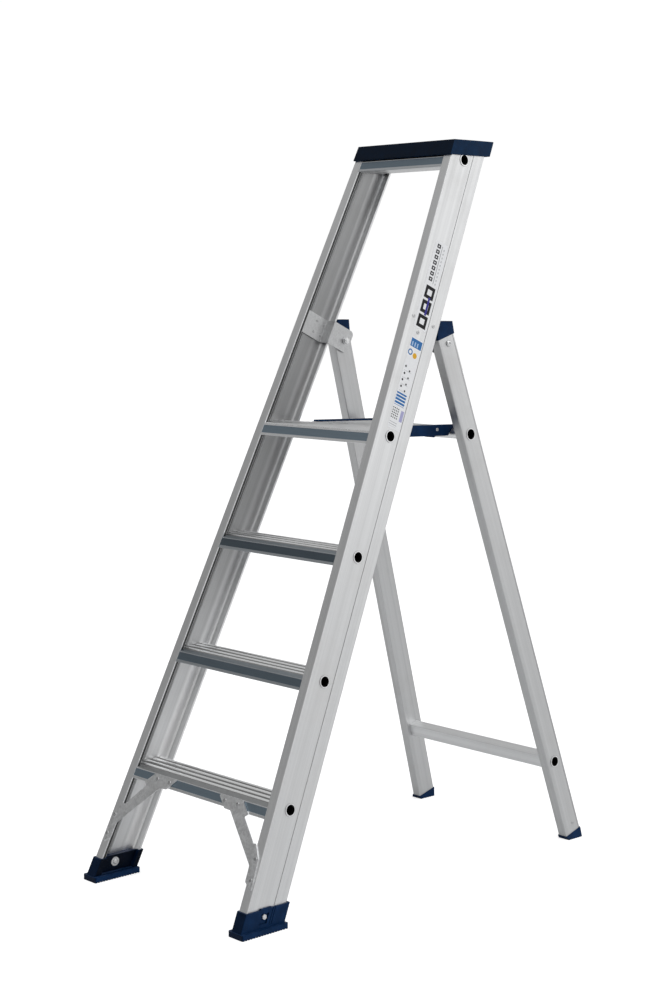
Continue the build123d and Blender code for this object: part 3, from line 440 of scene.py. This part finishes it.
def lower_sticker():
    """Generic notice: blue blocks, plain dots and a chequered square, with no lettering and no symbols."""
    p = Printed("sticker_lower_print")
    p.ink(p.box((28.0, 62.0), (1306.0, 1325.0)), INK_BLUE)
    p.ink(p.bars(p.box((31.0, 54.0), (1308.0, 1318.0)), p.deep, 8.0, 0.45), INK_PALE)
    p.ink(p.disc(33.5, 1293.0, 7.0, 4.2), INK_BLUE)
    p.ink(p.disc(49.0, 1289.0, 6.4), INK_AMBER)
    for row, start in enumerate((1259.0, 1243.0, 1228.0, 1213.0)):
        p.ink(p.disc(32.0 + row % 2, start, 2.6), INK_DARK)
        p.ink(p.disc(46.0 + row % 2, start - 7.0, 2.3), INK_DARK)
        p.ink(p.bars(p.box((29.0, 52.0), (start - 11.0, start - 8.6)), p.deep, 3.0, 0.5), INK_GREY, 0.5)
    p.ink(p.bars(p.box((26.5, 57.0), (1170.0, 1199.0)), p.along, 7.2, 0.66), INK_BLUE)
    p.ink(p.box((26.5, 40.0), (1185.0, 1187.0)), INK_PALE)
    checks = p.bars(p.box((27.0, 46.0), (1139.0, 1166.0)), p.along, 5.4, 0.55)
    p.ink(p.bars(checks, p.deep, 5.4, 0.55), INK_CHECKS)
    p.ink(p.box((53.0, 62.0), (1138.0, 1163.0)), INK_LILAC)
    p.ink(p.bars(p.box((27.0, 50.0), (1121.0, 1135.0)), p.along, 5.0, 0.3), INK_GREY, 0.7)
    return p.done()


# ---------------------------------------------------------------- assignment

def paint(material, *names):
    for name in names:
        for slot in NODES[name].material_slots:
            slot.material = material


for hand, side in (("left", -1), ("right", 1)):
    paint(stile_finish_and_painted_light("stile_" + hand, side), "stile_" + hand)
    paint(extruded("leg_" + hand, leg_direction(side), 0.66, 0.38).material, "rear_leg_" + hand)
    paint(moulded("navy_foot_" + hand, NAVY, pocket=(-side, 0, 0), front=0.45), "front_foot_" + hand)

# Ribbed pieces: the tones of the bands (grime and painted shade), the crests and the recess (painted shade), how
# bright the nose is left by its painted shade, and the top's slope.
RIBBED = {
    "step_1": (0.24, 0.95, 0.34, 0.9),
    "step_2": (0.24, 0.95, 0.22, 0.42),
    "step_3": (0.24, 0.95, 0.15, 0.42),
    "platform_front_step": (0.40, 0.90, 0.32),
    "top_cross_bar": (0.5, 0.86, 0.26, 0.62),
    "platform_deck": (0.48, 0.84, None, 1.0, DECK_SLOPE),
}
for name, tones in RIBBED.items():
    paint(tread_finish_and_painted_shade(name, *tones), name)

paint(tube_finish_and_painted_shade("upper_cross_bar", ROUND_BAR_BORE), "upper_cross_bar")
for name in [n for n in NODES if n.startswith("tie_tube")]:
    paint(tube_finish_and_painted_shade(name, TUBE_BORE), name)
paint(extruded("finish_lower_bar", ALONG_X, 0.86, 0.38).material, "lower_cross_bar")

paint(galvanised("plated_sheet", 0.86, 0.42), "brace_left", "brace_right")
paint(galvanised("bracket_sheet", 0.66, 0.44),
      "hinge_bracket_left", "hinge_bracket_right", "platform_hinge_lugs")
paint(galvanised("rivet_finish", 0.60, 0.30, 900.0), *[n for n in NODES if "rivets" in n])
paint(galvanised("plated_fastener", 0.80, 0.26, 600.0),
      "hinge_bolts", "hinge_nuts", "hinge_washers", "hinge_spacers",
      "front_foot_bolts", "front_foot_nuts", "front_foot_washers", "platform_hinge_rod")

paint(moulded("navy_top_cap", CAP_NAVY, front=0.30), "top_cap")
paint(moulded("navy_moulding", NAVY),
      "platform_side_cap_left", "platform_side_cap_right", "platform_catch",
      "rear_foot_left", "rear_foot_right", "rear_leg_top_plug_left", "rear_leg_top_plug_right")
paint(upper_sticker(), "sticker_upper")
paint(lower_sticker(), "sticker_lower")


# ---------------------------------------------------------------- stage

FLOOR_SIZE = 40.0
FLOOR_DROP = 0.0004
FLOOR_LIFT = 0.66


def studio_floor():
    """Pale matt floor. What the camera sees of it is lifted towards white, as in a cut-out studio picture."""
    g = Graph("studio_floor", Roughness=0.9)
    g.set(g.shader, "Base Color", g.mix(g.noise(g.place(), 2.0), grey(0.80), grey(0.82)))
    g.set(g.shader, "Emission Color", (1, 1, 1))
    g.set(g.shader, "Emission Strength", g.math("MULTIPLY", g.node("LightPath", output=0), FLOOR_LIFT))

    mesh = bmesh.new()
    bmesh.ops.create_grid(mesh, x_segments=1, y_segments=1, size=0.5,
                          matrix=Matrix.Diagonal((FLOOR_SIZE, FLOOR_SIZE, 1, 1)))
    data = bpy.data.meshes.new("floor")
    mesh.to_mesh(data)
    mesh.free()
    floor = bpy.data.objects.new("floor", data)
    floor.location = (0, 0, -FLOOR_DROP)
    floor.data.materials.append(g.material)
    bpy.context.scene.collection.objects.link(floor)


def softbox(name, target, azimuth, elevation, distance, size, power):
    """Square area light round the target: azimuth 0 is at -Y and 90 at +X."""
    a, e = radians(azimuth), radians(elevation)
    back = Vector((sin(a) * cos(e), -cos(a) * cos(e), sin(e)))
    data = bpy.data.lights.new(name, "AREA")
    data.shape = "RECTANGLE"
    data.size, data.size_y = size, size
    data.energy = power
    light = bpy.data.objects.new(name, data)
    light.location = Vector(target) + back * distance
    light.rotation_mode = "QUATERNION"
    light.rotation_quaternion = (-back).to_track_quat("-Z", "Y")
    bpy.context.scene.collection.objects.link(light)


# Light of the studio walls, and their glow: direction, cosines where it starts and is full, and strength.
WALL_LEVEL = 0.10
WALL_GLOW = [
    ((0.78, 0.56, 0.24), 0.30, 0.97, 0.97),
    ((-0.45, -0.35, 0.82), 0.55, 0.95, 0.24),
    ((-0.66, 0.72, 0.20), 0.75, 0.98, 0.45),
    ((0.0, -0.1, 1.0), 0.3, 1.0, 0.3),
    ((0.64, -0.60, 0.40), 0.70, 0.95, 0.26),
]
WALL_SEEN = 1.02
WHITE = (1, 1, 1, 1)


def studio_walls():
    """Soft glow by direction for the light, and plain white for what the camera sees."""
    world = bpy.data.worlds.new("studio")
    world.use_nodes = True
    tree = world.node_tree
    tree.nodes.clear()

    def node(kind, values, **properties):
        made = tree.nodes.new("ShaderNode" + kind)
        for key, value in properties.items():
            setattr(made, key, value)
        for key, value in values.items():
            if isinstance(value, bpy.types.NodeSocket):
                tree.links.new(value, made.inputs[key])
            else:
                made.inputs[key].default_value = value
        return made

    where = node("TexCoord", {}).outputs[0]
    level = WALL_LEVEL
    for direction, start, full, strength in WALL_GLOW:
        toward = tuple(Vector(direction).normalized())
        facing = node("VectorMath", {0: where, 1: toward}, operation="DOT_PRODUCT").outputs[1]
        glow = node("MapRange", {0: facing, 1: start, 2: full, 3: 0.0, 4: strength},
                    interpolation_type="SMOOTHSTEP")
        level = node("Math", {0: glow.outputs[0], 1: level}, operation="ADD").outputs[0]
    lit = node("Background", {0: WHITE, 1: level})
    seen = node("Background", {0: WHITE, 1: WALL_SEEN})
    path = node("LightPath", {})
    both = node("MixShader", {0: path.outputs[0], 1: lit.outputs[0], 2: seen.outputs[0]})
    node("OutputWorld", {0: both.outputs[0]})
    return world


studio_floor()
softbox("top_light", target=(0, 0, 0.8), azimuth=60, elevation=75, distance=4.0, size=3.0, power=40)
bpy.context.scene.world = studio_walls()
bpy.context.scene.view_settings.view_transform = "Standard"


# ---------------------------------------------------------------- camera

# A long lens at eye height, off the near front corner.
AZIMUTH, ELEVATION = radians(47.404), radians(6.355)
EYE = Vector((3.06484, -2.85076, 1.29585))
FOCAL, SENSOR = 67.145, 36.0

camera = bpy.data.objects.new("camera", bpy.data.cameras.new("camera"))
camera.data.lens = FOCAL
camera.data.sensor_width = SENSOR
camera.location = EYE
look = Vector((-sin(AZIMUTH) * cos(ELEVATION), cos(AZIMUTH) * cos(ELEVATION), -sin(ELEVATION)))
camera.rotation_mode = "QUATERNION"
camera.rotation_quaternion = look.to_track_quat("-Z", "Y")
bpy.context.scene.collection.objects.link(camera)
bpy.context.scene.camera = camera
